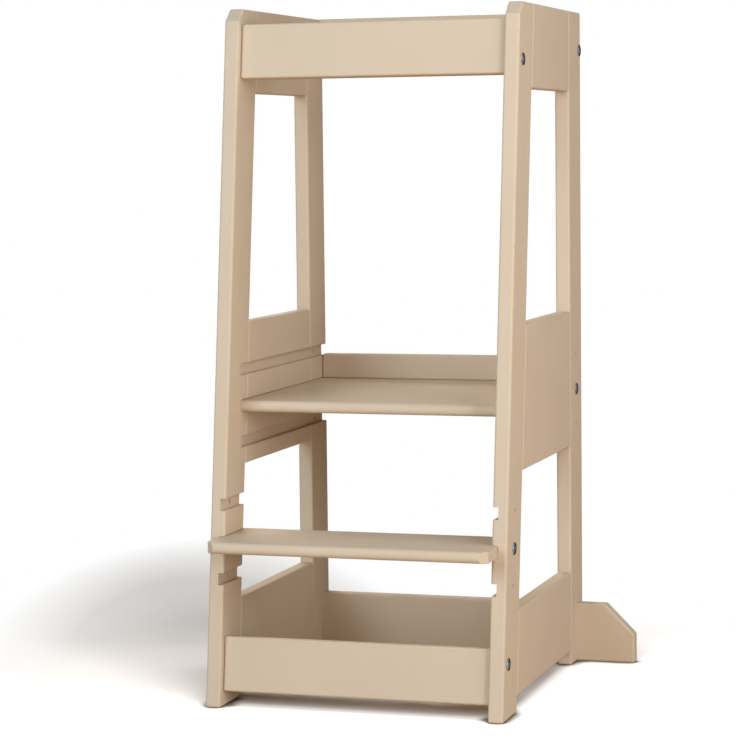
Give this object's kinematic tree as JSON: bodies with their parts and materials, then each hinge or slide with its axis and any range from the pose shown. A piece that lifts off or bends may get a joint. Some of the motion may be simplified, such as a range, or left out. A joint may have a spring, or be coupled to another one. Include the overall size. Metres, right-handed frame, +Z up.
{
  "type": "toddler kitchen helper stool",
  "caption": "Painted wooden standing tower for a small child: two raked side frames, rails, a platform and a climbing step in milled slots, and a long rear stabiliser board.",
  "frame": {"origin": "on the floor, under the middle of the whole object's box", "axes": "+X to the right as seen from the front, -Y towards the front where the child climbs in, +Z up"},
  "size_m": [0.558, 0.4821, 0.9],
  "materials": {
    "painted_wood": "solid pine board under opaque satin beige paint, edges rounded",
    "bolt_chrome": "bright nickel-chromed domed bolt heads with a hexagon socket",
    "zinc_steel": "zinc-plated barrel nuts and threaded inserts",
    "beech": "bare fluted beech dowel"
  },
  "bodies": {
    "root": {"right_front_leg": "painted_wood", "left_front_leg": "painted_wood", "right_rear_leg": "painted_wood", "left_rear_leg": "painted_wood", "right_lower_panel": "painted_wood", "left_lower_panel": "painted_wood", "right_middle_panel": "painted_wood", "left_middle_panel": "painted_wood", "right_top_panel": "painted_wood", "left_top_panel": "painted_wood", "right_frame_dowels": "beech", "left_frame_dowels": "beech", "front_top_rail": "painted_wood", "front_top_bolts": "bolt_chrome", "front_top_barrel_nuts": "zinc_steel", "rear_top_rail": "painted_wood", "rear_top_bolts": "bolt_chrome", "rear_top_barrel_nuts": "zinc_steel", "front_bottom_rail": "painted_wood", "front_bottom_bolts": "bolt_chrome", "front_bottom_barrel_nuts": "zinc_steel", "rail_dowels": "beech", "platform": "painted_wood", "kick_rail": "painted_wood", "kick_rail_dowels": "beech", "step": "painted_wood", "platform_bolts": "bolt_chrome", "platform_inserts": "zinc_steel", "step_bolts": "bolt_chrome", "step_inserts": "zinc_steel", "rear_board": "painted_wood", "rear_board_bolts": "bolt_chrome", "rear_board_inserts": "zinc_steel"}
  },
  "joints": []
}
